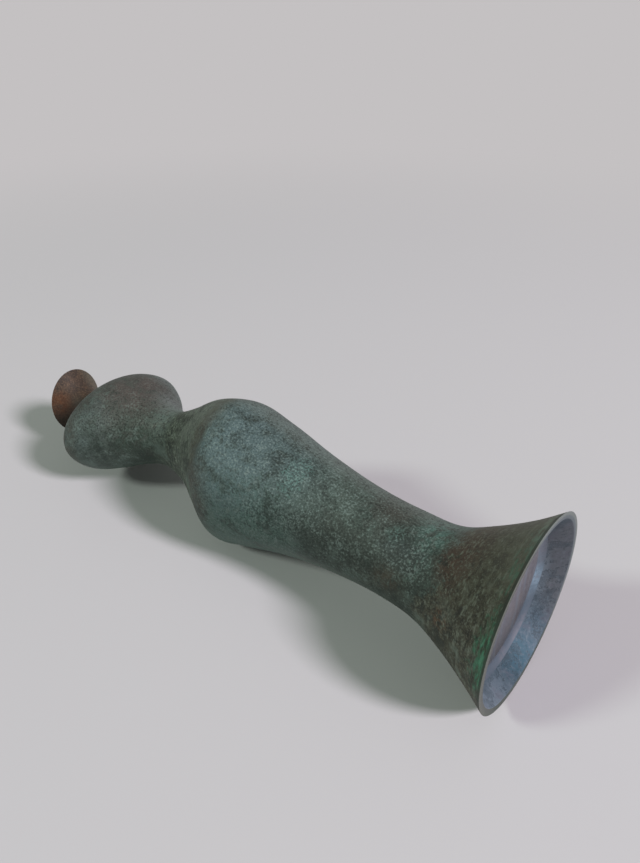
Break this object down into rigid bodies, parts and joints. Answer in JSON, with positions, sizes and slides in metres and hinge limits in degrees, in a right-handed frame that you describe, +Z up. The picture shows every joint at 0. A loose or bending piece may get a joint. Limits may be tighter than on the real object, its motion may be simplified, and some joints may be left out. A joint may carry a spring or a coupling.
{
  "type": "bud vase",
  "caption": "Slender bud vase with a flared foot, swelling belly, narrow neck, flattened upper bulb and small trumpet mouth, lying on its side; hollow metal casting with a base plate.",
  "frame": {"origin": "on the table that the vase lies on, under the middle of the whole vase; the centre of the foot rim is at (0.1366, 0, 0.0400) m", "axes": "+Z up from the table; +X along the vase from the mouth towards the foot. The vase lies on its side as pictured, on its foot rim and its belly, so its own axis leans 1.4 degrees down towards the mouth. Turned so that the foot_face normal points down, it stands on its foot."},
  "size_m": [0.2752, 0.08, 0.08],
  "materials": {
    "patinated_bronze": "cast bronze with a matt grey-green and brown patina",
    "plate_bronze": "mauve-grey tarnish",
    "soft_solder": "pale blue-grey tarnish"
  },
  "bodies": {
    "root": {"vase_body": "patinated_bronze", "base_plate": "plate_bronze", "base_solder_seam": "soft_solder"}
  },
  "joints": []
}
